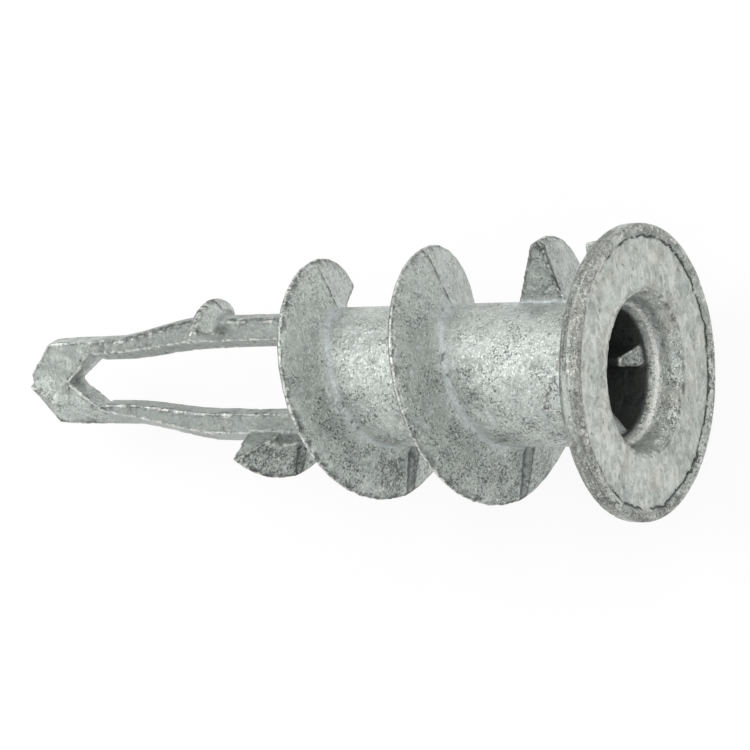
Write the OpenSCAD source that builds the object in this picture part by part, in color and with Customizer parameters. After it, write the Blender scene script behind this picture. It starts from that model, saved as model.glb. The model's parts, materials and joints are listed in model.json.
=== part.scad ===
// Metal plasterboard anchor: one zinc die casting.
// It is drawn pointing up, with the flange face at height 0 and the drill tip on
// top, and is then laid on its side as it comes to rest, with the head towards +X.
// The die parts on the plane through the axis that holds both legs, so the flight
// is built as two halves, each drafted towards that plane.

/* [Flange] */
// Radius of the flange
flange_r = 7.08; // [6.4:0.05:8.5]
// Depth from the front face to the bearing face of the flange
flange_t = 0.95; // [0.8:0.05:1.6]
// Radius inside which the front face is flat
face_r = 6.55; // [5.4:0.05:6.7]
// Height that the rounded rim stands proud of the front face
lip_h = 0.22; // [0.05:0.01:0.3]
// Radius of the rounding at the back of the rim
rim_round = 0.42; // [0.2:0.02:0.6]

/* [Barrel] */
// Radius of the barrel
barrel_r = 3.52; // [3.3:0.02:4.2]
// Distance from the front face to the end of the barrel
barrel_len = 18.2; // [17:0.1:20]
// Radius of the fillet between the barrel and the flange
root_round = 0.55; // [0.3:0.05:1]

/* [Socket and bore] */
// Radius of the dished mouth at the front face
mouth_r = 3.85; // [3.6:0.05:4.6]
// Depth of the dished mouth
mouth_depth = 1.0; // [0.6:0.05:1.4]
// Radius of the edge of the driver socket
socket_edge_r = 3.2; // [3.05:0.05:3.4]
// Radius of the parallel part of the driver socket
socket_r = 3.05; // [2.6:0.05:3.1]
// Depth of the bottom of the parallel part of the socket
socket_end = 6.6; // [5:0.1:8]
// Depth at which the socket has narrowed to the screw bore
bore_start = 9; // [8.5:0.1:11]
// Radius of the screw bore
bore_r = 1.65; // [1.2:0.05:2]
// Number of driving ribs in the socket
rib_count = 4; // [2:1:6]
// Height of a driving rib above the socket wall
rib_h = 1.25; // [0.6:0.05:1.35]
// Width of a driving rib at the socket wall
rib_w = 1.25; // [0.6:0.05:1.4]
// Depth of the front end of a driving rib
rib_start = 1.65; // [1.6:0.05:3]

/* [Ratchet teeth] */
// Number of ratchet teeth under the flange
tooth_count = 4; // [2:1:8]
// Radius of the outer face of a tooth
tooth_r = 6.4; // [5:0.1:6.6]
// Height of a tooth below the flange
tooth_h = 1.4; // [0.5:0.05:1.5]
// Angle over which a tooth ramps down
tooth_angle = 27; // [12:1:34]

/* [Flight] */
// Distance between turns of the flight
pitch = 6.62; // [5.6:0.05:7.5]
// Distance from the front face to the start of the flight
flight_start = 4.65; // [4.3:0.02:5.5]
// Number of turns in the flight
flight_turns = 3.28; // [2.75:0.01:3.4]
// Crest radius at the start of the flight
crest_r0 = 6.62; // [5.6:0.05:7]
// Fall of the crest radius in each turn
crest_fall = 0.2; // [0:0.02:0.4]
// Turn after which the crest tapers towards the tip
taper_from = 1.5; // [1:0.1:2]
// How fast the crest tapers towards the tip
taper_rate = 0.8; // [0.5:0.05:1.2]
// Share by which the crest stands higher above the legs than below them
crest_skew = 0.025; // [0:0.005:0.05]
// Width of the crest
crest_w = 0.36; // [0.25:0.02:0.6]
// Slope of the flank towards the head, as width gained for each unit of depth
head_slope = 0.26; // [0.1:0.02:0.36]
// Slope of the flank towards the tip, as width gained for each unit of depth
tip_slope = 0.32; // [0.1:0.02:0.36]
// Size of the fillet where a flank meets the barrel
flank_fillet = 0.5; // [0.2:0.05:0.8]

/* [Legs] */
// Half width across the outer faces of the two legs
leg_out = 3.4; // [3.1:0.02:3.5]
// Half width of the slot between the legs
slot_half = 1.66; // [1.3:0.05:1.8]
// Half thickness of a leg, across the parting plane
leg_half = 0.98; // [0.7:0.02:1.4]
// Half width across the legs where they meet the tip
neck_out = 2.42; // [2.1:0.02:2.8]
// Half width of the slot where it meets the tip
neck_half = 1.12; // [0.9:0.02:1.4]
// Distance from the front face to where the legs bend in
bend_start = 25; // [23:0.1:26.5]
// Distance from the front face to where the legs are at the neck
bend_end = 31.6; // [29:0.1:32.4]
// How far the inner face of a leg swells where it bends in
leg_swell = 0.06; // [0:0.02:0.2]
// Height of the bevel along the inner edge of a leg
inner_bevel = 0.62; // [0.2:0.02:0.8]
// Height of the bevel along the outer edge of a leg
outer_bevel = 0.7; // [0.2:0.02:0.9]
// Height of the small bevel along the other outer edge of a leg
edge_bevel = 0.18; // [0.05:0.01:0.4]

// Half height of the die's slot block at the near faces of the legs
block_half = 2.35; // [2:0.05:2.6]
// Draft of the slot block, as height gained for each unit of depth
block_draft = 0.29; // [0.1:0.01:0.35]

/* [Drill tip] */
// Overall length from the front face to the end of the tip
total_len = 37.6; // [36.8:0.1:40]
// Half width of the tip at its corners
tip_out = 2.2; // [1.8:0.02:2.3]
// Distance from the front face to the corners of the tip
tip_corner = 35.85; // [35.2:0.05:36.2]
// Half width of the cutting end
chisel_half = 0.4; // [0.3:0.02:0.8]
// Half width of the notch where it meets the slot
notch_half = 1.26; // [1.1:0.02:1.5]
// Distance from the front face to the point of the notch
notch_apex = 34.6; // [33.8:0.05:34.8]
// Distance from the front face to where the scoops in the tip begin
scoop_start = 34.85; // [34.2:0.05:35.1]
// Distance from the front face to where the notch is as wide as the slot
notch_open = 32.9; // [32.5:0.05:33.2]

/* [Resting] */
// Roll about the axis as the anchor lies at rest
rest_roll = -63.5; // [-180:0.1:180]
// Slope of the axis as the anchor lies at rest
rest_tilt = 3.8; // [0:0.01:6]

/* [Hidden] */
zinc = [0.7, 0.72, 0.71];
part_fn = 80;
// Angle at which the turned shapes begin, clear of the ribs, teeth and legs
seam_angle = 45;
// How far one solid runs into its neighbour
lap = 0.02;
// How far a tooth runs into the barrel and the flange
root_lap = 0.25;
// How far the foot of the flight lies below the barrel's surface
foot_lap = 0.07;
// Angle by which the flight's rings keep clear of the parting plane
parting_gap = 0.15;
// How far the legs run into the barrel
leg_root = 1.6;
// How far a cut runs on past the surface that it opens
overcut = 1;
// Radius at which the flight is rooted, inside the barrel and the legs
root_r = bore_r + 0.4;
// Steps in each half turn of the flight, and in the search for its draft
half_steps = 18;
shadow_steps = 8;
leg_steps = 14;
tip_steps = 6;
arc_steps = 5;
// Depth of the driver socket's edge, below the dished mouth
edge_depth = mouth_depth + 0.34;
// Depth at which the socket's walls turn parallel
socket_start = edge_depth + 0.25;
// How far the socket's ribs, and the flare of its mouth, run into the metal around them
rib_root = 0.25;
// Depth at which the dish's wall begins, below its rounded edge
dish_edge = 0.06;
// Two points on the dish's wall: shares of its depth, and of its width in to the socket
dish_wall = [[0.4, 0.45], [0.64, 1]];
// Length of a rib's sloping front for each unit of its height
rib_nose = 0.6;
// Width of a rib's crest as a share of its foot
rib_taper = 0.35;

// Heights up a flank at which the flight's section has a point, as shares
flank_shares = [0, 0.08, 0.2, 0.5, 0.92, 1];
// The least that the crest stands above the root, and above the foot of the flank
least_crest = 0.5;
least_flank = 0.3;
// How much of the crest's width, and of the flank's height, its rounded edges take
blunt_w = 0.4;
blunt_h = 0.1;

// Two points on a leg's flat face, as shares of the half width
flat_shares = [-0.25, 0.1];
// Length over which a leg's inner face swells, before it bends in
swell_run = 2;
// Length before the neck's end over which the legs turn into the tip
neck_run = 1;
// Half thickness of the tip, and the share of it that is left at the cutting end
tip_half = 1;
tip_thin = 0.5;
// Length before the corners of the tip from which it thins
thin_run = 0.5;
// Length of the steep front of a scoop, and the run before it of the scooped edge
scoop_step = 0.12;
scoop_run = 1.6;
// Section of the tip: share of the half width, then share of the half thickness of the
// plain tip and of the scooped tip
tip_section = [
    [-1, 0.62, 0.62],
    [-0.48, 0.84, 0.84],
    [flat_shares[0], 0.72, 0.36],
    [flat_shares[1], 0.7, 0.18],
    [0.6, 0.7, 0.24],
    [0.97, 0.68, 0.4]
];
// Points of that section from this one on belong to the scooped edge
scooped_edge = 4;
// The slot widens to the notch between these two depths
widen_from = notch_open - 0.6;
widen_to = notch_open - 0.1;
// Half width left at the point of the notch
notch_end = 0.01;

// Radius of the top of the rim
lip_mid = (face_r + flange_r) / 2;

function arc(centre, radius, from, to) =
    [for (i = [0:arc_steps])
        let (a = from + (to - from) * i / arc_steps)
        centre + radius * [cos(a), sin(a)]];

function ease(from, to, x) =
    let (t = min(1, max(0, (x - from) / (to - from))))
    t * t * (3 - 2 * t);

function mix(a, b, t) = a + (b - a) * t;

// ---- Flange and barrel: an outline of [radius, depth] turned about the axis

module turned_body() {
    lip_half = (flange_r - face_r) / 2;
    outline = concat(
        [[0, 0], [face_r, 0]],
        arc([lip_mid, lip_half - lip_h], lip_half, 200, 360),
        arc([flange_r - rim_round, flange_t - rim_round], rim_round, 0, 90),
        arc([barrel_r + root_round, flange_t + root_round], root_round, 270, 180),
        [[barrel_r, barrel_len - lip_half], [barrel_r - lip_half, barrel_len]],
        [[0, barrel_len]]
    );
    rotate([0, 0, seam_angle]) rotate_extrude($fn = part_fn) polygon(outline);
}

module bore() {
    outline = [
        [0, -overcut],
        [mouth_r + rib_root, -overcut],
        [mouth_r + rib_root, -lip_h],
        [mouth_r, dish_edge],
        for (p = dish_wall) [mix(mouth_r, socket_edge_r, p[0]), mouth_depth * p[1]],
        [socket_edge_r, edge_depth],
        [socket_r, socket_start],
        [socket_r, socket_end],
        [bore_r, bore_start],
        [bore_r, barrel_len + overcut],
        [0, barrel_len + overcut]
    ];
    rotate([0, 0, seam_angle]) rotate_extrude($fn = part_fn) polygon(outline);
}

// A driving rib: a ridge on the socket wall with a sloping front end
module rib() {
    crest = socket_r - rib_h;
    foot = socket_r + rib_root;
    slope_end = rib_start + rib_h * rib_nose;
    half = rib_w / 2;
    top = half * rib_taper;
    polyhedron(
        points = [
            [foot, -half, rib_start], [foot, half, rib_start],
            [crest, top, slope_end], [crest, -top, slope_end],
            [foot, -half, bore_start], [foot, half, bore_start],
            [crest, top, bore_start], [crest, -top, bore_start]
        ],
        faces = [[0, 1, 2, 3], [7, 6, 5, 4], [1, 0, 4, 5], [2, 1, 5, 6], [3, 2, 6, 7], [0, 3, 7, 4]]
    );
}

// A ratchet tooth: steep at angle 0, ramping down to the flange
module tooth() {
    inner = barrel_r - root_lap;
    foot = flange_t - root_lap;
    steps = 4;
    ring = [for (i = [0:steps])
        let (
            a = tooth_angle * i / steps,
            top = flange_t + tooth_h * (1 - i / steps) - lap
        )
        each [
            [inner * cos(a), inner * sin(a), top],
            [tooth_r * cos(a), tooth_r * sin(a), top],
            [tooth_r * cos(a), tooth_r * sin(a), foot],
            [inner * cos(a), inner * sin(a), foot]
        ]];
    skin(ring, 4);
}

function average(points) = [for (p = points) 1] * points / len(points);

// Closes a stack of rings, each of count points, into a solid
module skin(points, count) {
    rings = len(points) / count;
    top = (rings - 1) * count;
    middles = [
        average([for (j = [0:count - 1]) points[j]]),
        average([for (j = [0:count - 1]) points[top + j]])
    ];
    sides = [for (i = [0:rings - 2]) for (j = [0:count - 1])
        let (k = (j + 1) % count)
        each [
            [i * count + j, (i + 1) * count + j, (i + 1) * count + k],
            [i * count + j, (i + 1) * count + k, i * count + k]
        ]];
    ends = [for (j = [0:count - 1])
        let (k = (j + 1) % count)
        each [[j, k, top + count], [top + k, top + j, top + count + 1]]];
    polyhedron(points = concat(points, middles), faces = concat(sides, ends));
}

// ---- Flight: a single-start right-hand helix, angle 0 on the parting plane

function crest_r(turn) =
    let (full = crest_r0 - crest_fall * turn - taper_rate * pow(max(0, turn - taper_from), 2))
    full * (1 + crest_skew * 2 * cos(360 * turn) * abs(sin(360 * turn)));

// How far a flank stands out from the crest's edge at a radius
function flank(r, crest, slope) =
    let (
        outside = max(r, barrel_r),
        fillet = max(0, 1 - (outside - barrel_r) / flank_fillet)
    )
    slope * (crest - outside) + flank_fillet * fillet * fillet / 2;

// Points on the way out of the die from a point on the flight, as [angle, radius]
function shadow(a, r, crest) =
    let (
        x = r * cos(a),
        y = r * sin(a),
        side = (a % 360) < 180 ? 1 : -1,
        y_out = side * sqrt(max(0, crest * crest - x * x))
    )
    [for (i = [0:shadow_steps])
        let (
            y_now = mix(y, y_out, i / shadow_steps),
            turn_a = atan2(y_now, x),
            wrapped = turn_a < 0 ? turn_a + 360 : turn_a
        )
        [floor(a / 360) * 360 + wrapped, min(crest, norm([x, y_now]))]];

function head_side(a, r, crest) =
    min([for (s = shadow(a, r, crest)) pitch * s[0] / 360 - flank(s[1], crest, head_slope)]);

function tip_side(a, r, crest) =
    max([for (s = shadow(a, r, crest)) pitch * s[0] / 360 + crest_w + flank(s[1], crest, tip_slope)]);

// The flight's section at an angle: up its tip side and down its head side
function flight_ring(a) =
    let (
        crest = max(root_r + least_crest, crest_r(a / 360)),
        foot = min(barrel_r - foot_lap, crest - least_flank),
        radii = concat([root_r], [for (f = flank_shares) mix(foot, crest, f)]),
        blunt_r = blunt_h * (crest - foot),
        blunt = function (r) blunt_w * crest_w * pow(max(0, (r - crest) / blunt_r + 1), 2),
        last = len(radii) - 1
    )
    concat(
        [for (r = radii)
            [r * cos(a), r * sin(a), flight_start + tip_side(a, r, crest) - blunt(r)]],
        [for (j = [last:-1:0])
            let (r = radii[j])
            [r * cos(a), r * sin(a), flight_start + head_side(a, r, crest) + blunt(r)]]
    );

// The rings keep just clear of the parting plane, where the two halves meet in a step
module flight() {
    last = flight_turns * 360;
    rings = [for (half = [0:ceil(flight_turns * 2) - 1])
        let (to = min(last, half * 180 + 180) - parting_gap)
        for (i = [0:half_steps])
            flight_ring(mix(half * 180 + parting_gap, to, i / half_steps))];
    skin([for (ring = rings) each ring], len(rings[0]));
}

// ---- Fork: the two legs and the drill tip, the same when turned half round

// Half width across the legs, and from the neck on across the tip
function outer_half(l) =
    l < bend_end ? mix(leg_out, neck_out, ease(bend_start, bend_end, l))
        : l < tip_corner
        ? mix(neck_out, tip_out, (l - bend_end) / (tip_corner - bend_end))
        : mix(tip_out, chisel_half, (l - tip_corner) / (total_len - tip_corner));

// One side of the section through the legs, from the lower leg to the upper one
function leg_side(l) =
    let (out = outer_half(l))
    [
        [-out, 0],
        [-out + outer_bevel, -leg_half],
        for (f = flat_shares) [out * f, -leg_half],
        [out - edge_bevel, -leg_half],
        [out, -leg_half + edge_bevel]
    ];

// One side of the section through the tip, from the relieved edge to the scooped edge
function tip_side_points(l) =
    let (
        w = outer_half(l),
        half = mix(tip_half, tip_thin, ease(tip_corner - thin_run, total_len, l)),
        scoop = ease(scoop_start, scoop_start + scoop_step, l),
        run_in = ease(scoop_start - scoop_run, scoop_start, l)
    )
    [for (i = [0:len(tip_section) - 1])
        let (p = tip_section[i], scooped = i < scooped_edge ? scoop : run_in)
        [w * p[0], -half * mix(p[1], p[2], scooped)]];

module fork_blank() {
    from = barrel_len - leg_root;
    stations = concat(
        [for (i = [0:leg_steps]) mix(from, notch_open, i / leg_steps)],
        [for (i = [1:tip_steps]) mix(notch_open, scoop_start, i / tip_steps)],
        [for (i = [1:2]) mix(scoop_start, scoop_start + scoop_step, i / 2)],
        [for (i = [1:2]) mix(scoop_start + scoop_step, tip_corner, i / 2)],
        [for (i = [1:4]) mix(tip_corner, total_len, i / 4)]
    );
    ring = [for (l = stations)
        let (
            blend = ease(bend_end - neck_run, scoop_start - scoop_step, l),
            side = blend * tip_side_points(l) + (1 - blend) * leg_side(l)
        )
        each concat([for (p = side) [p[0], p[1], l]], [for (p = side) [-p[0], -p[1], l]])];
    skin(ring, 12);
}

function inner_half(l) =
    l < widen_from ? mix(slot_half, neck_half, ease(bend_start, bend_end, l))
        : l < widen_to ? mix(neck_half, notch_half, (l - widen_from) / (widen_to - widen_from))
        : mix(notch_half, notch_end, (l - widen_to) / (notch_apex - widen_to));

// The space between the legs, bevelled where it opens, and the notch at its end
module slot() {
    deep = 2 * leg_half;
    stations = concat(
        [for (i = [0:leg_steps]) mix(barrel_len - lap, widen_from, i / leg_steps)],
        [widen_to, (notch_open + notch_apex) / 2, notch_apex]
    );
    ring = [for (l = stations)
        let (
            in = inner_half(l),
            swell_in = ease(bend_start - swell_run, bend_start, l),
            swell_out = ease(bend_end - swell_run, bend_end, l),
            swell = leg_swell * swell_in * (1 - swell_out),
            open = inner_bevel * (1 - ease(bend_end, notch_apex + neck_run, l)),
            side = [[-in, -deep], [in + open * deep / leg_half, -deep], [in - swell, 0]]
        )
        each concat([for (p = side) [p[0], p[1], l]], [for (p = side) [-p[0], -p[1], l]])];
    skin(ring, 6);
}

module fork() {
    difference() {
        fork_blank();
        slot();
    }
}

// ---- The whole casting, pointing up

module casting() {
    difference() {
        union() {
            turned_body();
            difference() {
                flight();
                slot_block();
            }
            for (i = [0:tooth_count - 1])
                rotate([0, 0, 360 * i / tooth_count]) tooth();
            fork();
        }
        difference() {
            bore();
            for (i = [0:rib_count - 1])
                rotate([0, 0, 360 * i / rib_count]) rib();
        }
    }
}

// Past the barrel the die's slot block leaves the flight only outside the legs
module slot_block() {
    half_at = function (depth) block_half + block_draft * (depth - leg_half);
    depth = flange_r;
    translate([0, 0, barrel_len - lap])
        linear_extrude(total_len)
            polygon([
                [half_at(leg_half), 0],
                [half_at(depth), depth],
                [-half_at(depth), depth],
                [-half_at(leg_half), 0],
                [-half_at(depth), -depth],
                [half_at(depth), -depth]
            ]);
}

module anchor() {
    // The tip and the rim of the head are the same way out from the middle
    middle = ((total_len - lip_h) * cos(rest_tilt) - lip_mid * sin(rest_tilt)) / 2;
    // The widest place on the rim stands on the floor
    height = flange_r * cos(rest_tilt) + (flange_t - rim_round) * sin(rest_tilt);
    color(zinc)
        translate([middle, 0, height])
            rotate([0, -rest_tilt, 0])
                rotate([rest_roll, 0, 0])
                    rotate([0, -90, 0])
                        casting();
}

anchor();
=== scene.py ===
"""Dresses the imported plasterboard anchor: its cast zinc surface, and the stage that it lies on."""
import itertools
import json
import math

import bpy
import numpy as np
from bpy.props import FloatProperty, FloatVectorProperty, IntProperty, PointerProperty
from mathutils import Matrix, Vector, noise


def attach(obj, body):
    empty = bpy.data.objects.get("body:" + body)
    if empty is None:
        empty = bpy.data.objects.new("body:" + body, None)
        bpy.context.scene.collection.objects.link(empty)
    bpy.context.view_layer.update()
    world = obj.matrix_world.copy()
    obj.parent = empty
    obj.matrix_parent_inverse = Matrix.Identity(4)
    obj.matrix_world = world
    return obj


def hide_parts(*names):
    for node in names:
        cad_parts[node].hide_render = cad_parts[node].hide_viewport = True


bl_info = {
    "name": "Zinc plasterboard anchor",
    "version": (1, 0, 0),
    "blender": (4, 5, 0),
    "location": "View3D > Sidebar > Anchor",
    "description": "Dresses a die-cast zinc plasterboard anchor and sets its stage",
    "category": "Object",
}

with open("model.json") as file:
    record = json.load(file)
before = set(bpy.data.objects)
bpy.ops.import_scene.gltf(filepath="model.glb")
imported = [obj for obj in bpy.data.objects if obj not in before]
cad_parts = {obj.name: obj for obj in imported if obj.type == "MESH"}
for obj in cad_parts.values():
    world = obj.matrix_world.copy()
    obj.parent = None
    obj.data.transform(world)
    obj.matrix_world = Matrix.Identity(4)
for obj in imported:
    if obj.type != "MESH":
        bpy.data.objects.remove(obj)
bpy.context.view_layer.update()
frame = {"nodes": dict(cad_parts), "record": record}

MM = 0.001
NODE = "anchor"

# Sizes of the casting, in millimetres, that its finish depends on. A depth is measured along the
# axis from the head's face, and a radius from the axis.
FLANGE_T = 0.95
FACE_R = 6.55
SOCKET_R = 3.2
MOUTH_R = 3.85
MOUTH_DEPTH = 1.0
BARREL_LEN = 18.2
BARREL_R = 3.52
# Depths between which the flight stands on the barrel and the legs
FLIGHT_FROM = 4.0
FLIGHT_TO = 29.0
# Depth at which the legs join in the drill tip
TIP_FROM = 32.5
# How far round the axis the seat's mount lies from the upper leg
SEAT_ANGLE = math.radians(57)

# Where one finish gives way to the next: radii or depths, in millimetres
RIM_FADE = (FACE_R - 0.05, FACE_R + 0.2)
BARREL_FADE = (BARREL_R - 0.3, BARREL_R)
FLIGHT_FADE = (BARREL_R + 0.02, BARREL_R + 0.2)
# SOCKET_FADE: depths over which the painted shade in the socket sets in
SOCKET_FADE = (MOUTH_DEPTH + 0.3, MOUTH_DEPTH + 0.6)
LEGS_FADE = (BARREL_LEN, BARREL_LEN + 1)
TIP_FADE = (TIP_FROM - 1, TIP_FROM + 1)
# Deepest that a point still counts as on the face, as on the flash line and as in the dish
FACE_DEPTH = 0.3
FLASH_DEPTH = 0.35
DISH_DEPTH = MOUTH_DEPTH + 0.5
# Depth at which the painted shade in the socket and the hole through the barrel ends, inside the
# barrel's open end
SOCKET_SHADE_END = BARREL_LEN - 0.4
# Radius of the painted highlight round the socket
LIP_R = SOCKET_R + 0.12
# How far past a size the skin may wander and still belong to it
SLACK = 0.1
# A distance that no line reaches
FAR = 9

# How much an effect is lessened on each part: specks, painted lower-side shade, painted dark borders
LESS_SPECKLED = {"face": 1, "legs": 0.6, "tip": 0.5, "fillet": 0.8}
LESS_SPECK_SHADE = {"legs": 0.5, "fillet": 0.9, "dish": 0.4}
LESS_BORDER_SHADE = {"rim": 0.8}
# Share that the casting's upper side has of the extra specks, which grow to full below as painted
# shade
UPPER_SPECK_SHADE = 0.45
# Share of the socket's painted shade taken off a rib's front, which then reads as lit, and how much
# fainter the parting line and the flights' painted lightening are on the flight's steep sides
RIB_SHADE_CUT = 0.8
SIDE_FADE = 0.5

# Cover of the fine specks on clean skin, and how much it grows with the painted shade below
SPECK_COVER = 0.475
SHADE_COVER = 0.11
# Roughness of the clean skin, and in metres the depth of its finest relief
ROUGHNESS = 0.4
RELIEF = 0.048 * MM

# Noise in the skin: the share, the size in millimetres and the seed of each layer
WAVES = ((0.7, 2.2, 1), (0.5, 0.8, 2))
CHIPS = ((1, 0.55, 3), (0.25, 0.25, 4))
PITS = ((1, 0.28, 5), (0.25, 1.6, 6))
FLASH_SWAY = ((0.1, 1.3, 7),)
# How far apart two seeds lie in the noise
SEED_STEP = (17.3, 5.1, -9.7)
# Level of the noise above which an edge chips, and levels between which a pit deepens
CHIP_LEVEL = 0.12
PIT_LEVELS = (0.42, 0.6)
# How much more the dish waves than the rest, and the share of the nicks that the mouth keeps
DISH_WAVES = 2.5
MOUTH_NICKS = 0.3
# How far inside the face's edge the flash line runs, and about how wide it is
FLASH_INSET = 0.08
FLASH_WIDTH = 0.1

# How far the skin stands out from its smoothed self, in mm, where an effect starts and where it is
# full: nicks, bright edges (partly wear, partly painted highlight), the painted highlight on the
# legs' lower edges, and painted dark borders
NICKED = (0.015, 0.07)
RUBBED_AND_LIT = (0.012, 0.04)
LEG_EDGE_HIGHLIGHT = (0.005, 0.018)
BORDER_SHADED = (0.024, 0.06)
# The same for how far it lies in: painted shade in creases, and smooth fillets
CREASE_SHADED = (0.018, 0.06)
FILLETED = (0.01, 0.03)
# Passes of smoothing for those: before the skin is roughened, and after it, fine and broad
BLANK_PASSES = 4
FINE_PASSES = 3
BROAD_PASSES = 12

# How squarely the skin looks one way, as cosines at which it starts to count and counts in full:
# the face forward, a rib's front forward, the flight's steep sides across the casting, and the
# legs' lower edges down
FACE_FORWARD = 0.8
RIB_FORWARD = (0.3, 0.7)
SIDEWAYS = (0.6, 0.9)
DOWNWARD = (0.2, -0.2)
# The same for how far round to the lower side a point lies
LOWER_SIDE = (0.35, -0.75)
# How much less a step round the axis counts than one along it, so that smears are drawn out
SMEAR_DRAW = 0.14

# The camera, in the casting's own axes and in millimetres
CAMERA_PLACE = (61.79, -113.25, 32.15)
CAMERA_AIM = (-15.36, 0.02, 0.06)
CAMERA_ROLL = math.radians(-9.63)
SENSOR_WIDTH = 36
# Nearest distance in metres that it sees
NEAREST = 0.01
# The lamps, in the same axes: name, direction from the anchor, distance in metres, and share of
# the key's size and of its power
LAMPS = (
    ("key_light", (-0.5, -0.66, 0.55), 0.5, 0.9, 0.85),
    ("fill_light", (-0.4, -0.7, -0.55), 0.5, 1.3, 0.55),
)
# The side that the light from all round is stronger on, and how that light grows towards it: from
# and to these cosines, and from and to these strengths
BRIGHT_SIDE = (0.7, -0.28, 0.65)
BRIGHT_SPAN = (-0.7, 1.0)
BRIGHT_RANGE = (0.12, 1.6)
# Half the floor's side in metres, and the share of plain white in what the camera sees of it
FLOOR_HALF = 1.5
WHITE_SHARE = 0.9
# Spacing of the nodes in a tree's layout
COLUMN, ROW = 200, 180
# Where a Mix node has its two colours among its inputs, and the result among its outputs
MIX_UNDER, MIX_OVER = 6, 7
MIX_RESULT = 2


def casting_frame():
    """The casting's own axes in the row frame: x out of the head, z towards the upper leg.

    The origin is the middle of the head's face. The seat's mount says how the casting is rolled.
    """
    mounts = {mount["name"]: mount for mount in frame["record"]["mounts"]}
    socket, seat = mounts["driver_socket"], mounts["flange_seat"]
    x = Vector(socket["axis"]).normalized()
    middle, point = Vector(socket["pos_m"]), Vector(seat["pos_m"])
    seat_height = (point - middle).dot(x)
    origin = middle + x * (seat_height + FLANGE_T * MM)
    out = (point - middle - x * seat_height).normalized()
    z = math.cos(SEAT_ANGLE) * out + math.sin(SEAT_ANGLE) * x.cross(out)
    y = z.cross(x)
    axes = Matrix((x, y, z)).transposed().to_4x4()
    return Matrix.Translation(origin) @ axes


# ---- Settings that a user would change


class CastingSettings(bpy.types.PropertyGroup):
    """The casting's mesh, the marks in its skin and the colours of its finish"""

    voxel: FloatProperty(
        name="Grain of the mesh",
        description="Size of the cells that the casting is remade from, in mm",
        default=0.115, min=0.08, max=0.4)
    triangles: IntProperty(
        name="Triangles",
        description="About how many triangles the casting keeps, most of them at its edges",
        default=190000, min=20000, max=195000)
    rounding: IntProperty(
        name="Rounding", description="Passes that round the casting's edges",
        default=1, min=0, max=12)
    unevenness: FloatProperty(
        name="Unevenness", description="How far the cast skin waves in and out, in mm",
        default=0.02, min=0.0, max=0.1)
    nicks: FloatProperty(
        name="Nicks", description="How far the edges are knocked in, in mm",
        default=0.07, min=0.0, max=0.2)
    pits: FloatProperty(
        name="Pits", description="Depth of the small pits in the skin, in mm",
        default=0.05, min=0.0, max=0.2)
    flash: FloatProperty(
        name="Flash line", description="Depth of the rough line inside the rim of the head, in mm",
        default=0.05, min=0.0, max=0.2)
    light_zinc: FloatVectorProperty(
        name="Light zinc", description="Colour of the clean patches",
        subtype="COLOR", size=3, default=(0.56, 0.60, 0.567))
    grey_zinc: FloatVectorProperty(
        name="Grey zinc", description="Colour of the dull patches",
        subtype="COLOR", size=3, default=(0.265, 0.29, 0.272))
    # Colour of the specks, also used for painted shade in creases, beside edges, below and in the
    # socket
    oxide_and_shade: FloatVectorProperty(
        name="Oxide and shade", description="Colour of the specks and stains",
        subtype="COLOR", size=3, default=(0.055, 0.062, 0.058))
    # Colour of bright edges (partly wear, partly painted highlight), pale strokes, painted glints
    # and lip highlight
    wear_and_highlight: FloatVectorProperty(
        name="Wear and highlight", description="Colour of the rubbed edges",
        subtype="COLOR", size=3, default=(0.86, 0.86, 0.82))
    blue_grey: FloatVectorProperty(
        name="Blue grey", description="Colour of the smooth fillets",
        subtype="COLOR", size=3, default=(0.56, 0.62, 0.63))
    buff: FloatVectorProperty(
        name="Buff", description="Colour of the faint warm patches on the head",
        subtype="COLOR", size=3, default=(0.46, 0.44, 0.385))
    warm_grey: FloatVectorProperty(
        name="Warm grey", description="Colour of the trimmed rim",
        subtype="COLOR", size=3, default=(0.22, 0.226, 0.2))


class StageSettings(bpy.types.PropertyGroup):
    """The floor, the lights and the camera"""

    floor: FloatVectorProperty(
        name="Floor", description="Colour of the floor",
        subtype="COLOR", size=3, default=(0.8, 0.8, 0.8))
    key_power: FloatProperty(
        name="Key light", description="Power of the large light above", unit="POWER",
        default=1.5, min=0.0)
    key_size: FloatProperty(
        name="Key size", description="Side of the large light above", unit="LENGTH",
        default=0.34, min=0.05)
    ambient: FloatProperty(
        name="Ambient", description="Strength of the light from all round", default=0.8, min=0.0)
    focal_length: FloatProperty(
        name="Focal length", description="Focal length of the camera, in mm",
        default=134.4, min=20)


# ---- The casting's mesh


def remade_mesh(settings):
    """The CAD solid as one even skin with its edges rounded, as metal leaves a die."""
    blank = bpy.data.objects.new("blank", frame["nodes"][NODE].data.copy())
    bpy.context.collection.objects.link(blank)
    remesh = blank.modifiers.new("skin", "REMESH")
    remesh.mode = "VOXEL"
    remesh.voxel_size = settings.voxel * MM
    remesh.use_smooth_shade = True
    snug = blank.modifiers.new("snug", "SHRINKWRAP")
    snug.target = frame["nodes"][NODE]
    snug.wrap_method = "NEAREST_SURFACEPOINT"
    smooth = blank.modifiers.new("round", "SMOOTH")
    smooth.factor = 0.5
    smooth.iterations = settings.rounding
    return applied(blank)


def thinned_mesh(mesh, settings):
    """The same skin with fewer triangles where it is even."""
    heavy = bpy.data.objects.new("heavy", mesh)
    bpy.context.collection.objects.link(heavy)
    mesh.calc_loop_triangles()
    thin = heavy.modifiers.new("thin", "DECIMATE")
    thin.ratio = min(1, settings.triangles / len(mesh.loop_triangles))
    return applied(heavy)


def applied(thing):
    """The mesh of an object with its modifiers applied. The object itself goes."""
    depsgraph = bpy.context.evaluated_depsgraph_get()
    mesh = bpy.data.meshes.new_from_object(thing.evaluated_get(depsgraph))
    bpy.data.objects.remove(thing)
    return mesh


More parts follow.
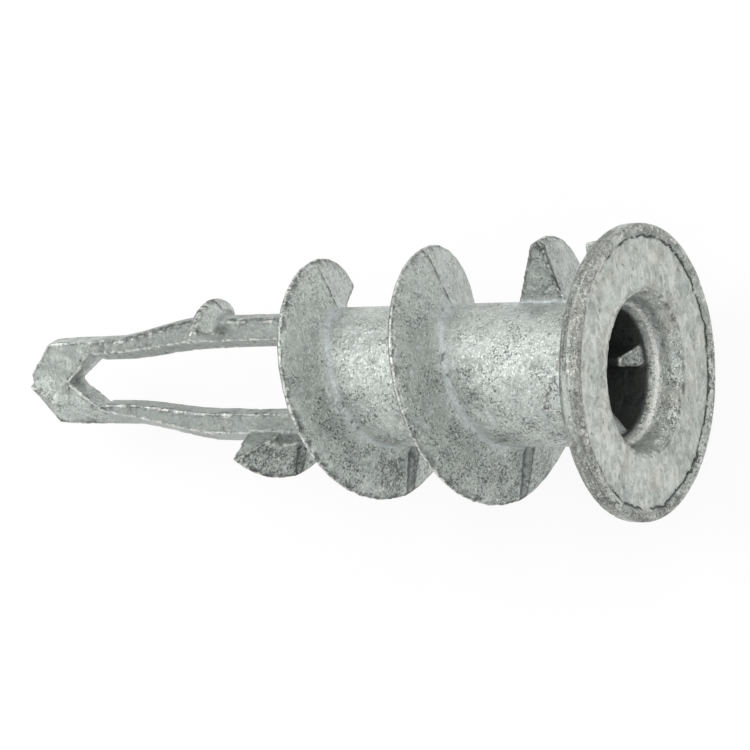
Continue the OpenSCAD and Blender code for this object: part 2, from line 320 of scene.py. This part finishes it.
def vertex_arrays(mesh):
    """Points, normals and edges of a mesh as arrays."""
    count = len(mesh.vertices)
    points = np.empty(count * 3)
    normals = np.empty(count * 3)
    edges = np.empty(len(mesh.edges) * 2, int)
    mesh.vertices.foreach_get("co", points)
    mesh.vertices.foreach_get("normal", normals)
    mesh.edges.foreach_get("vertices", edges)
    return points.reshape(-1, 3), normals.reshape(-1, 3), edges.reshape(-1, 2)


def spread(values, edges):
    """Each vertex's value averaged with those of its neighbours."""
    total = values.copy()
    share = np.ones(len(values))
    for a, b in ((0, 1), (1, 0)):
        np.add.at(total, edges[:, a], values[edges[:, b]])
        np.add.at(share, edges[:, a], 1)
    return total / (share[:, None] if values.ndim > 1 else share)


def sharpness(points, normals, edges, passes):
    """How convex (above 0) or hollow (below 0) the skin is round each vertex, in mm."""
    smoothed = points
    for _ in range(passes):
        smoothed = spread(smoothed, edges)
    return ((points - smoothed) * normals).sum(1) / MM


def smoothstep(low, high, values):
    """A smooth step from 0 at low to 1 at high."""
    t = np.clip((values - low) / (high - low), 0, 1)
    return t * t * (3 - 2 * t)


def ripple(places, size, seed):
    """Smooth noise of about the given size, in mm, at each place."""
    shift = Vector([seed * step for step in SEED_STEP])
    return np.array([noise.noise(Vector(p) / size + shift) for p in places])


def ripples(places, layers):
    """Layers of noise added up."""
    return sum(share * ripple(places, size, seed) for share, size, seed in layers)


class Spots:
    """Where each vertex of the skin lies on the casting, in its own axes and in mm."""

    def __init__(self, points):
        own = casting_frame().inverted()
        self.turn = np.array(own.to_3x3())
        self.places = (points @ self.turn.T + np.array(own.translation)) / MM
        self.depth = -self.places[:, 0]
        self.radius = np.hypot(self.places[:, 1], self.places[:, 2])
        self.inside = (self.radius < MOUTH_R) & (self.depth > 0)
        self.dish = self.inside * (self.radius > SOCKET_R - SLACK) * (self.depth < DISH_DEPTH)
        self.flash_off = self.radius - (FACE_R - FLASH_INSET + ripples(self.places, FLASH_SWAY))


def roughen(mesh, spots, settings):
    """Gives the skin its waves, nicks, pits and flash line."""
    points, normals, edges = vertex_arrays(mesh)
    edge = smoothstep(*NICKED, sharpness(points, normals, edges, BLANK_PASSES))
    chips = np.clip(ripples(spots.places, CHIPS) - CHIP_LEVEL, 0, None)
    line = np.exp(-((spots.flash_off / FLASH_WIDTH) ** 2)) * (spots.depth < FLASH_DEPTH)
    skin = settings.unevenness * ripples(spots.places, WAVES) * (1 + DISH_WAVES * spots.dish)
    skin -= settings.nicks * edge * chips * np.where(spots.inside, MOUTH_NICKS, 1)
    skin -= settings.pits * smoothstep(*PIT_LEVELS, ripples(spots.places, PITS))
    skin -= settings.flash * line
    moved = points + normals * (skin * MM)[:, None]
    mesh.vertices.foreach_set("co", moved.ravel())
    mesh.update()


def part_masks(spots, normals, edges):
    """Which part of the casting each vertex belongs to, from 0 to 1."""
    depth, radius = spots.depth, spots.radius
    facing = normals @ spots.turn[0]
    sideways = smoothstep(*SIDEWAYS, np.abs(normals @ spots.turn[1]))
    face = (facing > FACE_FORWARD) * (depth < FACE_DEPTH) * (radius < FACE_R) * (radius > MOUTH_R)
    fin = smoothstep(*FLIGHT_FADE, radius) * (depth > FLIGHT_FROM) * (depth < FLIGHT_TO)
    bore = smoothstep(*SOCKET_FADE, depth) * (radius < SOCKET_R + SLACK / 2) * (depth < SOCKET_SHADE_END)
    legs = smoothstep(*LEGS_FADE, depth) * (radius < BARREL_R + SLACK)
    tip = smoothstep(*TIP_FADE, depth)
    return {
        "rim": smoothstep(*RIM_FADE, radius) * (depth < FLANGE_T + SLACK),
        "face": spread(spread(face.astype(float), edges), edges),
        "dish": spread(spots.dish.astype(float), edges),
        # Painted shade in the socket, lessened on the ribs' fronts that face out
        "bore": bore * (1 - RIB_SHADE_CUT * smoothstep(*RIB_FORWARD, facing)),
        # Where the flight stands; carries the parting line and the flights' painted lightening
        "fin": fin * (1 - SIDE_FADE * sideways),
        "legs": legs * (1 - tip),
        "tip": tip,
    }


def lessened(part, shares):
    """What is left of an effect where each part takes its share away."""
    return math.prod(1 - share * part[name] for name, share in shares.items())


def weather(mesh, settings):
    """Roughens the skin, and stores for each vertex what its finish depends on."""
    spots = Spots(vertex_arrays(mesh)[0])
    roughen(mesh, spots, settings)
    points, normals, edges = vertex_arrays(mesh)
    fine = sharpness(points, normals, edges, FINE_PASSES)
    broad = sharpness(points, normals, edges, BROAD_PASSES)
    depth, radius = spots.depth, spots.radius
    part = part_masks(spots, normals, edges)

    # Painted highlight: the legs' lower edges turn bright sooner
    low_leg_highlight = part["legs"] * smoothstep(*DOWNWARD, normals @ spots.turn[2])
    start, full = (a + (b - a) * low_leg_highlight for a, b in zip(RUBBED_AND_LIT, LEG_EDGE_HIGHLIGHT))
    worn_and_lit = smoothstep(start, full, fine)
    fillet = spread(spread(smoothstep(*FILLETED, -broad), edges), edges)
    fillet *= smoothstep(*BARREL_FADE, radius) * (depth > FLANGE_T) * (depth < BARREL_LEN)
    part["fillet"] = fillet
    # Painted shade: more dark specks towards the casting's lower side
    lower = smoothstep(*LOWER_SIDE, spots.places[:, 2] / np.maximum(radius, SLACK))
    shades = UPPER_SPECK_SHADE + (1 - UPPER_SPECK_SHADE) * lower
    angle = np.arctan2(spots.places[:, 2], -spots.places[:, 1])
    marks = {
        "worn_and_lit": worn_and_lit,
        # Painted shade: dark borders beside the bright edges, and darkening in the hollows
        "edge_shade": smoothstep(*BORDER_SHADED, broad) * (1 - worn_and_lit) * lessened(part, LESS_BORDER_SHADE),
        "hollow": smoothstep(*CREASE_SHADED, -fine),
        "busy": lessened(part, LESS_SPECKLED),
        "speck_shade": shades * lessened(part, LESS_SPECK_SHADE),
        "flash_off": np.where(depth < FLASH_DEPTH, spots.flash_off, FAR),
        "lip_off": np.where(spots.dish, radius - LIP_R, FAR),
        "across": spots.places[:, 1],
        "wound": np.stack((radius, depth, angle * FACE_R * SMEAR_DRAW), axis=1),
        "own": spots.places,
    }
    del part["tip"]
    for name, values in (part | marks).items():
        store(mesh, name, values)


def store(mesh, name, values):
    """Keeps a number or a vector for each vertex, for the material to read."""
    kind, field = ("FLOAT", "value") if np.ndim(values) == 1 else ("FLOAT_VECTOR", "vector")
    attribute = mesh.attributes.new(name, kind, "POINT")
    attribute.data.foreach_set(field, np.asarray(values, np.float32).ravel())


# ---- Node helpers


def add(tree, kind, place, **values):
    """A node at a column and row of a tree's layout, its properties and inputs set by name."""
    node = tree.nodes.new(kind)
    node.location = (place[0] * COLUMN, -place[1] * ROW)
    for name, value in values.items():
        if hasattr(node, name):
            setattr(node, name, value)
        else:
            node.inputs[name.replace("_", " ")].default_value = value
    return node


def plug(tree, value, socket):
    """Gives an input a number, or links an output to it."""
    if isinstance(value, (int, float)):
        socket.default_value = value
    else:
        tree.links.new(value, socket)


def math_node(tree, operation, a, b, place, clamp=False):
    """The result of a math node whose inputs are sockets or numbers."""
    node = add(tree, "ShaderNodeMath", place, operation=operation, use_clamp=clamp)
    plug(tree, a, node.inputs[0])
    plug(tree, b, node.inputs[1])
    return node.outputs[0]


def multiply_add(tree, a, b, c, place):
    """A socket times b, plus c."""
    total = math_node(tree, "MULTIPLY_ADD", a, b, place)
    plug(tree, c, total.node.inputs[2])
    return total


def steps(tree, value, place, low, high):
    """A smooth step from 0 at low to 1 at high."""
    node = add(tree, "ShaderNodeMapRange", place, interpolation_type="SMOOTHSTEP")
    for name, source in (("Value", value), ("From Min", low), ("From Max", high)):
        plug(tree, source, node.inputs[name])
    return node.outputs["Result"]


def step_below(tree, field, cover, place, top, width):
    """A step of a given width in a noise field, as far below a top level as the cover says."""
    column, row = place
    low = math_node(tree, "SUBTRACT", top, cover, (column - 2, row + 1))
    high = math_node(tree, "ADD", low, width, (column - 1, row + 1))
    return steps(tree, field, place, low, high)


def blend(tree, mask, under, over, place):
    """A colour laid over another where a mask says so."""
    node = add(tree, "ShaderNodeMix", place, data_type="RGBA")
    tree.links.new(mask, node.inputs["Factor"])
    for index, colour in ((MIX_UNDER, under), (MIX_OVER, over)):
        if isinstance(colour, bpy.types.NodeSocket):
            tree.links.new(colour, node.inputs[index])
        else:
            node.inputs[index].default_value = (*colour, 1)
    return node.outputs[MIX_RESULT]


def stored(tree, name, place, output="Fac"):
    """What the mesh keeps for each vertex under a name."""
    return add(tree, "ShaderNodeAttribute", place, attribute_name=name).outputs[output]


def new_group(name, inputs):
    """An empty shader group with float inputs and one mask: its tree, inputs and mask socket."""
    tree = bpy.data.node_groups.new(name, "ShaderNodeTree")
    for label, value in inputs.items():
        socket = tree.interface.new_socket(label, in_out="INPUT", socket_type="NodeSocketFloat")
        socket.default_value = value
    tree.interface.new_socket("Mask", in_out="OUTPUT", socket_type="NodeSocketFloat")
    entry, end = add(tree, "NodeGroupInput", (-4, 0)), add(tree, "NodeGroupOutput", (6, 0))
    return tree, entry.outputs, end.inputs["Mask"]


def place_group(tree, group, place, **values):
    """A group in a material, with its inputs set by name."""
    node = add(tree, "ShaderNodeGroup", place, node_tree=group)
    for name, value in values.items():
        node.inputs[name].default_value = value
    return node


def grains_of(tree, size, place, detail, roughness, wander=0.0, unit=MM, source=None):
    """Noise of about the given size in mm, a number or a socket, in the object's own space.

    Wander bends it into worm-like marks.
    """
    column, row = place
    if source is None:
        source = add(tree, "ShaderNodeTexCoord", (column - 3, row)).outputs["Object"]
    scale = math_node(tree, "DIVIDE", 1 / unit, size, (column - 1, row + 1))
    field = add(
        tree, "ShaderNodeTexNoise", place, Detail=detail, Roughness=roughness, Distortion=wander)
    tree.links.new(source, field.inputs["Vector"])
    tree.links.new(scale, field.inputs["Scale"])
    return field.outputs["Fac"]


# ---- Shared effects of the cast zinc


def mottle_group():
    """Dull patches, as galvanised or cast zinc has."""
    tree, given, mask = new_group("Zinc mottle", {"Size": 1.4, "Cover": 0.5})
    field = grains_of(tree, given["Size"], (0, 0), detail=5, roughness=0.62)
    tree.links.new(step_below(tree, field, given["Cover"], (3, 0), top=0.88, width=0.2), mask)
    return tree


def speck_group():
    """Small dark specks that gather in loose clouds."""
    tree, given, mask = new_group("Dark specks", {"Size": 0.13, "Cloud": 1.6, "Cover": 0.5})
    fine = grains_of(tree, given["Size"], (0, 0), detail=3, roughness=0.6, wander=0.8)
    cloud = grains_of(tree, given["Cloud"], (0, 3), detail=3, roughness=0.6)
    above = math_node(tree, "SUBTRACT", cloud, 0.5, (1, 3))
    lifted = math_node(tree, "ADD", fine, math_node(tree, "MULTIPLY", above, 0.5, (2, 3)), (3, 1))
    tree.links.new(step_below(tree, lifted, given["Cover"], (4, 4), top=1.08, width=0.14), mask)
    return tree


def wear_and_highlight_group():
    """Bright edges, part wear and part painted highlight, broken up into an uneven line."""
    tree, given, mask = new_group("Edge wear and highlight", {"Size": 0.35, "Amount": 1.0})
    field = grains_of(tree, given["Size"], (0, 0), detail=4, roughness=0.6)
    broken = steps(tree, field, (1, 0), low=0.36, high=0.62)
    rubbed = math_node(tree, "MULTIPLY", stored(tree, "worn_and_lit", (1, -2)), broken, (3, 0))
    tree.links.new(math_node(tree, "MULTIPLY", rubbed, given["Amount"], (4, 0), clamp=True), mask)
    return tree


def crease_shade_group():
    """Painted shade in creases, and thin painted dark borders beside the bright edges."""
    tree, given, mask = new_group("Crease and edge shade", {"Size": 0.6, "Creases": 1.0, "Borders": 0.5})
    field = grains_of(tree, given["Size"], (0, 0), detail=4, roughness=0.6)
    broken = steps(tree, field, (1, 0), low=0.3, high=0.52)
    hollow, edge_shade = stored(tree, "hollow", (1, -2)), stored(tree, "edge_shade", (1, -3))
    creases = math_node(tree, "MULTIPLY", hollow, given["Creases"], (2, -2))
    borders = math_node(tree, "MULTIPLY", edge_shade, given["Borders"], (2, -1))
    both = math_node(tree, "MAXIMUM", creases, borders, (3, 0))
    tree.links.new(math_node(tree, "MULTIPLY", both, broken, (4, 0), clamp=True), mask)
    return tree


def line_group():
    """A thin uneven line where a distance, in mm, passes through 0."""
    tree, given, mask = new_group(
        "Uneven line", {"Distance": 1.0, "Width": 0.06, "Wobble": 0.03, "Gaps": 0.4})
    field = grains_of(tree, 0.5, (0, 0), detail=4, roughness=0.65)
    bend = math_node(tree, "SUBTRACT", field, 0.5, (1, 0))
    sway = math_node(tree, "MULTIPLY", bend, given["Wobble"], (2, 0))
    swayed = math_node(tree, "ADD", given["Distance"], sway, (3, 0))
    off = math_node(tree, "ABSOLUTE", swayed, 0, (4, 0))
    core = math_node(tree, "MULTIPLY", given["Width"], 0.4, (4, 2))
    near = steps(tree, off, (5, 0), low=given["Width"], high=core)
    ending = math_node(tree, "SUBTRACT", given["Gaps"], 0.08, (1, 6))
    stretches = grains_of(tree, 1.1, (0, 5), detail=3, roughness=0.6)
    kept = steps(tree, stretches, (2, 5), low=ending, high=given["Gaps"])
    tree.links.new(math_node(tree, "MULTIPLY", near, kept, (5, 2)), mask)
    return tree


def smear_group():
    """Marks drawn out round the axis, as on a trimmed rim."""
    tree, given, mask = new_group("Rim smears", {"Size": 0.2, "Cover": 0.5})
    wound = stored(tree, "wound", (-4, -2), "Vector")
    field = grains_of(
        tree, given["Size"], (0, 0), detail=4, roughness=0.65, wander=0.5, unit=1, source=wound)
    tree.links.new(step_below(tree, field, given["Cover"], (3, 0), top=0.98, width=0.14), mask)
    return tree


def frost_group():
    """Short pale strokes along the casting's z axis, as an etched face has."""
    tree, given, mask = new_group("Frost strokes", {"Size": 0.3, "Cover": 0.5})
    mapping = add(tree, "ShaderNodeMapping", (-3, -2), Scale=(1, 1, 0.7))
    tree.links.new(stored(tree, "own", (-4, -2), "Vector"), mapping.inputs["Vector"])
    drawn = mapping.outputs["Vector"]
    field = grains_of(
        tree, given["Size"], (0, 0), detail=4, roughness=0.65, wander=0.9, unit=1, source=drawn)
    tree.links.new(step_below(tree, field, given["Cover"], (3, 0), top=0.95, width=0.16), mask)
    return tree


def zinc_masks(tree):
    """Where each part and each effect of the finish lies, by name."""
    parts = (
        "face", "dish", "rim", "bore", "legs", "fin", "fillet", "speck_shade", "busy", "across",
        "flash_off", "lip_off")
    masks = {name: stored(tree, name, (-4, 2 * row)) for row, name in enumerate(parts)}
    mottle, specks, frost = mottle_group(), speck_group(), frost_group()
    line, smear = line_group(), smear_group()
    effects = (
        ("patches", mottle, {"Size": 1.9, "Cover": 0.42}),
        ("clouds", mottle, {"Size": 0.5, "Cover": 0.42}),
        ("warmth", mottle, {"Size": 1.3, "Cover": 0.44}),
        ("fine", specks, {"Size": 0.12, "Cloud": 1.2}),
        ("coarse", specks, {"Size": 0.35, "Cloud": 2.6, "Cover": 0.43}),
        ("rubbed", wear_and_highlight_group(), {"Size": 0.22, "Amount": 1.0}),
        ("crease_edge_shade", crease_shade_group(), {"Size": 0.5, "Creases": 0.85, "Borders": 0.95}),
        ("strokes", frost, {"Size": 0.6, "Cover": 0.5}),
        ("scuffs", frost, {"Size": 1.1, "Cover": 0.47}),
        ("flecks", frost, {"Size": 0.11, "Cover": 0.45}),
        ("dull_flecks", frost, {"Size": 0.16, "Cover": 0.46}),
        ("dark_smears", smear, {"Size": 0.45, "Cover": 0.52}),
        ("bright_smears", smear, {"Size": 0.4, "Cover": 0.5}),
        ("parting", line, {"Width": 0.2, "Wobble": 0.14, "Gaps": 0.34}),
        ("flash", line, {"Width": 0.065, "Wobble": 0.4, "Gaps": 0.45}),
        ("lip_highlight", line, {"Width": 0.08, "Wobble": 0.05, "Gaps": 0.2}),
    )
    for row, (name, group, values) in enumerate(effects):
        masks[name] = place_group(tree, group, (0, 2 * row), **values).outputs["Mask"]
    for name, distance in (("parting", "across"), ("flash", "flash_off"), ("lip_highlight", "lip_off")):
        tree.links.new(masks[distance], masks[name].node.inputs["Distance"])
    cover = multiply_add(tree, masks["speck_shade"], SHADE_COVER, SPECK_COVER, (-1, 9))
    tree.links.new(cover, masks["fine"].node.inputs["Cover"])
    masks["head"] = math_node(tree, "MAXIMUM", masks["face"], masks["dish"], (1, 21))
    grain = grains_of(tree, 0.085, (1, 22), detail=2, roughness=0.7)
    masks["grain"] = steps(tree, grain, (2, 22), low=0.45, high=0.68)
    return masks


def zinc_material(settings):
    """Satin cast zinc: clean and dull patches, specks, bright edges and shade in the hollows.

    The bright edges are partly wear and partly painted highlight, and the shade is painted.
    """
    material = bpy.data.materials.new("cast_zinc")
    material.use_nodes = True
    tree = material.node_tree
    tree.nodes.clear()
    shader = add(tree, "ShaderNodeBsdfPrincipled", (20, 0), Metallic=0.75, IOR=1.6)
    output = add(tree, "ShaderNodeOutputMaterial", (22, 0))
    tree.links.new(shader.outputs["BSDF"], output.inputs["Surface"])
    masks = zinc_masks(tree)
    rows = itertools.count(0, 2)

    def share(names, amount):
        """The product of masks, given as names with a space between, times an amount."""
        mask, *others = (masks[name] for name in names.split())
        for factor in (*others, amount):
            mask = math_node(tree, "MULTIPLY", mask, factor, (2, next(rows)))
        return mask

    light, grey, dark = settings.light_zinc, settings.grey_zinc, settings.oxide_and_shade
    bright = settings.wear_and_highlight
    # From the bottom up: where a layer lies, how much it covers and its colour
    layers = (
        ("patches", 0.6, grey),
        ("clouds", 0.45, grey),
        ("legs", 0.62, grey),
        # Painted light: the flights made lighter than the rest
        ("fin", 0.3, light),
        ("fillet", 0.8, settings.blue_grey),
        ("warmth head", 0.5, settings.buff),
        ("scuffs head", 0.5, grey),
        ("rim", 0.85, settings.warm_grey),
        ("grain", 0.42, grey),
        ("dull_flecks busy", 0.45, grey),
        ("coarse", 0.45, dark),
        # Near-white flecks: partly pale grain, partly painted glints
        ("flecks busy", 0.7, bright),
        ("flecks face", 0.3, bright),
        ("strokes face", 0.42, bright),
        ("dark_smears rim", 0.42, dark),
        ("bright_smears rim", 0.8, light),
        # Painted shade in creases and beside the bright edges
        ("crease_edge_shade", 1, dark),
        # Bright edges: partly wear, partly painted highlight
        ("rubbed", 0.9, bright),
        # Fine dark specks, denser below as painted shade
        ("fine busy", 0.78, dark),
        ("parting fin", 0.8, dark),
        ("flash", 0.9, dark),
        # Painted highlight round the socket's edge
        ("lip_highlight", 0.6, bright),
        # Painted shade darkening the socket
        ("bore", 0.9, dark),
    )
    colour = tuple(light)
    for row, (names, amount, over) in enumerate(layers):
        colour = blend(tree, share(names, amount), colour, tuple(over), (5 + 0.7 * row, 0))
    tree.links.new(colour, shader.inputs["Base Color"])

    rough = ROUGHNESS
    for names, change in (
        ("patches", 0.12), ("rubbed", -0.14), ("flecks", -0.1), ("dish", -0.18), ("crease_edge_shade", 0.2),
        ("face", 0.08),
    ):
        rough = math_node(tree, "ADD", rough, share(names, change), (6, next(rows)))
    tree.links.new(rough, shader.inputs["Roughness"])

    skin = grains_of(tree, 0.12, (4, 9), detail=4, roughness=0.7, wander=0.5)
    swell = grains_of(tree, 0.6, (4, 12), detail=3, roughness=0.5)
    height = multiply_add(tree, swell, 1.6, skin, (6, 10))
    for names, depth in (
        ("fine", 0.4), ("parting fin", 0.5), ("flash", 1), ("dark_smears rim", 0.6),
    ):
        height = math_node(tree, "SUBTRACT", height, share(names, depth), (8, next(rows)))
    bump = add(tree, "ShaderNodeBump", (10, 8), Strength=1.0, Distance=RELIEF)
    tree.links.new(height, bump.inputs["Height"])
    tree.links.new(bump.outputs["Normal"], shader.inputs["Normal"])
    return material


# ---- Operators


class ANCHOR_OT_casting(bpy.types.Operator):
    """Make the cast zinc anchor from the CAD solid"""

    bl_idname = "anchor.casting"
    bl_label = "Casting"

    def execute(self, context):
        settings = context.scene.anchor_casting
        mesh = remade_mesh(settings)
        weather(mesh, settings)
        mesh = thinned_mesh(mesh, settings)
        mesh.materials.clear()
        mesh.materials.append(zinc_material(settings))
        mesh.shade_smooth()
        casting = bpy.data.objects.new("zinc_casting", mesh)
        context.collection.objects.link(casting)
        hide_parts(NODE)
        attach(casting, "root")
        return {"FINISHED"}


def floor_material(colour):
    """A pale floor that shows as nearly white and keeps a soft shadow."""
    material = bpy.data.materials.new("studio_floor")
    material.use_nodes = True
    tree = material.node_tree
    tree.nodes.clear()
    ray = add(tree, "ShaderNodeLightPath", (-4, 0)).outputs
    seen = math_node(tree, "MAXIMUM", ray["Is Camera Ray"], ray["Is Glossy Ray"], (-3, 0))
    seen = math_node(tree, "MAXIMUM", seen, ray["Is Transmission Ray"], (-2, 0))
    share = math_node(tree, "MULTIPLY", seen, WHITE_SHARE, (-1, 0))
    matt = add(tree, "ShaderNodeBsdfDiffuse", (-1, 1), Color=(*colour, 1))
    white = add(tree, "ShaderNodeEmission", (-1, 2), Strength=1.0)
    mix = add(tree, "ShaderNodeMixShader", (0, 0))
    output = add(tree, "ShaderNodeOutputMaterial", (1, 0))
    tree.links.new(share, mix.inputs["Fac"])
    tree.links.new(matt.outputs[0], mix.inputs[1])
    tree.links.new(white.outputs[0], mix.inputs[2])
    tree.links.new(mix.outputs[0], output.inputs["Surface"])
    return material


def studio_world(ambient, toward):
    """Soft light from all round, stronger from one side, and white where the camera sees it."""
    world = bpy.data.worlds.new("studio")
    world.use_nodes = True
    tree = world.node_tree
    background = tree.nodes["Background"]
    spot = add(tree, "ShaderNodeTexCoord", (-6, 0))
    facing = add(tree, "ShaderNodeVectorMath", (-5, 0), operation="DOT_PRODUCT")
    facing.inputs[1].default_value = toward
    tree.links.new(spot.outputs["Generated"], facing.inputs[0])
    level = steps(tree, facing.outputs["Value"], (-3, 0), *BRIGHT_SPAN)
    weakest, strongest = level.node.inputs["To Min"], level.node.inputs["To Max"]
    weakest.default_value, strongest.default_value = BRIGHT_RANGE
    strength = math_node(tree, "MULTIPLY", level, ambient, (-1, 1))
    ray = add(tree, "ShaderNodeLightPath", (-1, 3)).outputs
    shown = math_node(tree, "MAXIMUM", strength, ray["Is Camera Ray"], (0, 1))
    tree.links.new(shown, background.inputs["Strength"])
    background.inputs["Color"].default_value = (1, 1, 1, 1)
    return world


def aim(place, target, roll=0.0):
    """A placement that looks from one place to another, turned about its line of sight."""
    back = (place - target).normalized()
    right = Vector((0, 0, 1)).cross(back).normalized()
    up = back.cross(right)
    turn = Matrix((right, up, back)).transposed().to_4x4()
    return Matrix.Translation(place) @ turn @ Matrix.Rotation(roll, 4, "Z")


class ANCHOR_OT_stage(bpy.types.Operator):
    """Set the floor, the lights and the camera"""

    bl_idname = "anchor.stage"
    bl_label = "Stage"

    def execute(self, context):
        settings = context.scene.anchor_stage
        own = casting_frame()
        self.floor(context, settings)
        self.lights(context, settings, own)
        self.camera(context, settings, own)
        context.scene.view_settings.view_transform = "Standard"
        return {"FINISHED"}

    def floor(self, context, settings):
        turns = ((-1, -1), (1, -1), (1, 1), (-1, 1))
        square = [(x * FLOOR_HALF, y * FLOOR_HALF, 0) for x, y in turns]
        mesh = bpy.data.meshes.new("floor")
        mesh.from_pydata(square, [], [(0, 1, 2, 3)])
        mesh.materials.append(floor_material(settings.floor))
        floor = bpy.data.objects.new("floor", mesh)
        context.collection.objects.link(floor)

    def lights(self, context, settings, own):
        target = own @ (Vector(CAMERA_AIM) * MM)
        for name, direction, distance, size, power in LAMPS:
            lamp = bpy.data.lights.new(name, "AREA")
            lamp.shape = "SQUARE"
            lamp.size = size * settings.key_size
            lamp.energy = power * settings.key_power
            placed = bpy.data.objects.new(name, lamp)
            place = target + own.to_3x3() @ Vector(direction).normalized() * distance
            placed.matrix_world = aim(place, target)
            context.collection.objects.link(placed)
        toward = own.to_3x3() @ Vector(BRIGHT_SIDE).normalized()
        context.scene.world = studio_world(settings.ambient, toward)

    def camera(self, context, settings, own):
        lens = bpy.data.cameras.new("camera")
        lens.lens = settings.focal_length
        lens.sensor_width = SENSOR_WIDTH
        lens.clip_start = NEAREST
        camera = bpy.data.objects.new("camera", lens)
        place, point = Vector(CAMERA_PLACE) * MM, Vector(CAMERA_AIM) * MM
        camera.matrix_world = own @ aim(place, point, CAMERA_ROLL)
        context.collection.objects.link(camera)
        context.scene.camera = camera


class ANCHOR_PT_panel(bpy.types.Panel):
    """Sidebar panel with the anchor's settings and its steps"""

    bl_idname = "ANCHOR_PT_panel"
    bl_label = "Plasterboard anchor"
    bl_space_type = "VIEW_3D"
    bl_region_type = "UI"
    bl_category = "Anchor"

    def draw(self, context):
        for settings in (context.scene.anchor_casting, context.scene.anchor_stage):
            box = self.layout.box()
            for name in settings.bl_rna.properties.keys():
                if name not in {"rna_type", "name"}:
                    box.prop(settings, name)
        self.layout.operator(ANCHOR_OT_casting.bl_idname)
        self.layout.operator(ANCHOR_OT_stage.bl_idname)


CLASSES = (CastingSettings, StageSettings, ANCHOR_OT_casting, ANCHOR_OT_stage, ANCHOR_PT_panel)


def register():
    for cls in CLASSES:
        bpy.utils.register_class(cls)
    bpy.types.Scene.anchor_casting = PointerProperty(type=CastingSettings)
    bpy.types.Scene.anchor_stage = PointerProperty(type=StageSettings)


def unregister():
    del bpy.types.Scene.anchor_stage
    del bpy.types.Scene.anchor_casting
    for cls in reversed(CLASSES):
        bpy.utils.unregister_class(cls)


def main():
    """Makes the casting and its stage."""
    register()
    bpy.ops.anchor.casting()
    bpy.ops.anchor.stage()


if __name__ == "__main__":
    main()
